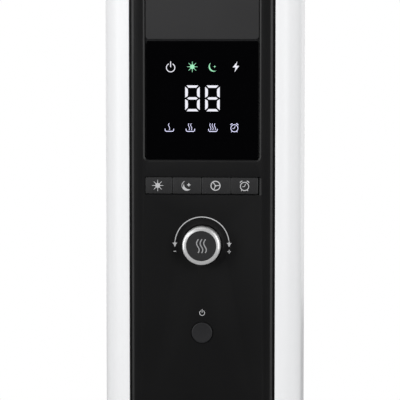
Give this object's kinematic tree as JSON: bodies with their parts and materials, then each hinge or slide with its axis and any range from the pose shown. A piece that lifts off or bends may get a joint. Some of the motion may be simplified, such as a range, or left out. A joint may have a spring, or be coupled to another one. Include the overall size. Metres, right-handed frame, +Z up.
{
  "type": "ceramic space heater",
  "caption": "Upright ceramic fan heater: black core between two white rounded side shells, display, keys, knob and power button above a louvred outlet, on a low base.",
  "frame": {"origin": "centre of the footprint's bounding box, on the floor under the rubber feet", "axes": "+Z up, the front with the display faces -Y, +X to the right as seen from the front"},
  "size_m": [0.19, 0.184, 0.63],
  "materials": {
    "black_plastic": "fine satin",
    "white_plastic": "gloss",
    "dark_plastic": "satin",
    "chassis_plastic": "matte",
    "rubber": "matte",
    "steel": "satin",
    "inlay_grey": "matte",
    "display_black": "mirror gloss",
    "key_grey": "satin",
    "circuit_board": "solder mask",
    "led_block": "matte",
    "component_black": "satin",
    "bright_ring": "diamond cut and anodised",
    "heater_plastic": "matte",
    "aluminium": "mill",
    "ceramic": "unglazed",
    "brass": "satin",
    "copper_winding": "enamelled wire",
    "wheel_plastic": "matte",
    "net": "matte",
    "wire": "satin"
  },
  "bodies": {
    "case": {"base_cover": "black_plastic", "base_plate": "dark_plastic", "rubber_feet": "rubber", "base_screws": "steel", "cord_gland": "dark_plastic", "tip_switch": "component_black", "chassis": "chassis_plastic", "left_shell": "white_plastic", "right_shell": "white_plastic", "front_fascia": "black_plastic", "top_cover": "black_plastic", "rear_cover": "black_plastic", "front_screws": "steel", "rear_screws": "steel", "inlay_plate": "inlay_grey", "display_lens": "display_black", "display_frame": "dark_plastic", "display_board": "circuit_board", "digit_module": "led_block", "icon_leds": "led_block", "tact_switches": "component_black", "control_board": "circuit_board", "encoder_body": "steel", "encoder_nut": "steel", "power_switch": "component_black", "outlet_grille": "dark_plastic", "heater_frame": "heater_plastic", "heater_fins": "aluminium", "ptc_tubes": "aluminium", "ptc_stones": "ceramic", "thermal_cutout": "steel", "thermal_fuse": "aluminium", "blower_housing": "dark_plastic", "top_bearing": "brass", "motor_stator": "steel", "motor_coil": "copper_winding", "motor_bracket": "steel", "power_board": "circuit_board", "relays": "component_black", "transformer": "component_black", "capacitors": "component_black", "terminal_block": "component_black", "wiring_loom": "wire", "ntc_sensor": "component_black", "tip_spring": "steel"},
    "key_heat": {"key_heat": "key_grey"},
    "key_sleep": {"key_sleep": "key_grey"},
    "key_fan": {"key_fan": "key_grey"},
    "key_timer": {"key_timer": "key_grey"},
    "knob_press": {"encoder_plunger": "brass"},
    "knob": {"encoder_shaft": "steel", "knob_body": "dark_plastic", "knob_ring": "bright_ring"},
    "power_button": {"power_button": "dark_plastic"},
    "blower": {"blower_wheel": "wheel_plastic", "blower_shaft": "steel", "motor_rotor": "steel"},
    "filter_door": {"filter_door": "black_plastic", "filter_mesh": "net"},
    "tip_plunger": {"tip_plunger": "dark_plastic"}
  },
  "joints": [
    {"name": "key_heat_press", "type": "slide", "parent": "case", "child": "key_heat", "axis": [0, 1, 0], "range_m": [0, 0.0006], "stiffness_N_per_m": 800},
    {"name": "key_sleep_press", "type": "slide", "parent": "case", "child": "key_sleep", "axis": [0, 1, 0], "range_m": [0, 0.0006], "stiffness_N_per_m": 800},
    {"name": "key_fan_press", "type": "slide", "parent": "case", "child": "key_fan", "axis": [0, 1, 0], "range_m": [0, 0.0006], "stiffness_N_per_m": 800},
    {"name": "key_timer_press", "type": "slide", "parent": "case", "child": "key_timer", "axis": [0, 1, 0], "range_m": [0, 0.0006], "stiffness_N_per_m": 800},
    {"name": "knob_press", "type": "slide", "parent": "case", "child": "knob_press", "axis": [0, 1, 0], "range_m": [0, 0.0008], "stiffness_N_per_m": 1500},
    {"name": "knob_turn", "type": "hinge", "parent": "knob_press", "child": "knob", "pos_m": [0, -0.065, 0.407], "axis": [0, -1, 0], "continuous": true},
    {"name": "power_button_press", "type": "slide", "parent": "case", "child": "power_button", "axis": [0, 1, 0], "range_m": [0, 0.0025], "stiffness_N_per_m": 600},
    {"name": "blower_spin", "type": "hinge", "parent": "case", "child": "blower", "pos_m": [0, 0.014, 0.15], "axis": [0, 0, 1], "continuous": true},
    {"name": "filter_door_hinge", "type": "hinge", "parent": "case", "child": "filter_door", "pos_m": [-0.047, 0.062, 0.165], "axis": [0, 0, 1], "range_deg": [0, 90]},
    {"name": "tip_plunger_slide", "type": "slide", "parent": "case", "child": "tip_plunger", "axis": [0, 0, -1], "range_m": [0, 0.004], "stiffness_N_per_m": 40, "springref_m": 0.006, "deforming": ["tip_spring"]}
  ]
}
